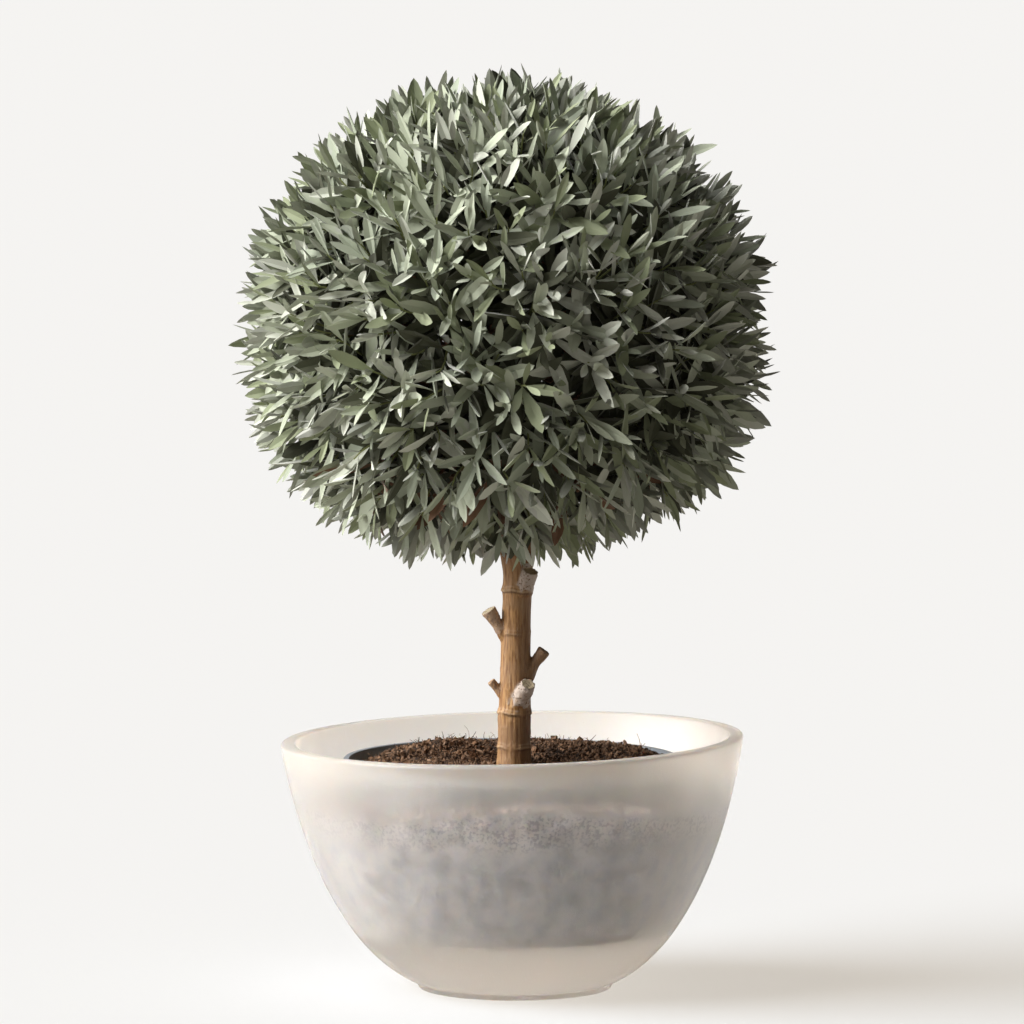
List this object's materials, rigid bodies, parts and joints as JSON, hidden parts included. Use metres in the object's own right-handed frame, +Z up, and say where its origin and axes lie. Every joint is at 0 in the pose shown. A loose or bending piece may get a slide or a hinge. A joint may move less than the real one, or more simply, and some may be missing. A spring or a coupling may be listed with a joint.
{
  "type": "standard lollipop topiary",
  "caption": "Grey-leaved shrub clipped to a ball on a clear trunk with pruned stubs, in a nursery pot set in a frosted bowl.",
  "frame": {"origin": "on the bowl's flat underside, below the middle of its rim, on the surface that the bowl stands on", "axes": "+Z up along the trunk, -Y towards the front, +X to the right seen from the front"},
  "size_m": [0.5565, 0.5434, 0.9217],
  "materials": {
    "frosted_resin": "matte",
    "bark_chips": "matte",
    "grey_plastic": "satin",
    "compost": "matte",
    "tan_bark": "matte",
    "stub_bark": "matte",
    "felted_leaves": "matte"
  },
  "bodies": {
    "root": {"bowl": "frosted_resin", "bark_fill": "bark_chips", "nursery_pot": "grey_plastic", "root_ball": "compost", "trunk": "tan_bark", "stub_lower_left": "stub_bark", "stub_lower_front": "stub_bark", "stub_right": "stub_bark", "stub_left": "stub_bark", "stub_upper_right": "stub_bark", "bough_left": "tan_bark", "bough_right": "tan_bark", "crown": "felted_leaves"}
  },
  "joints": []
}
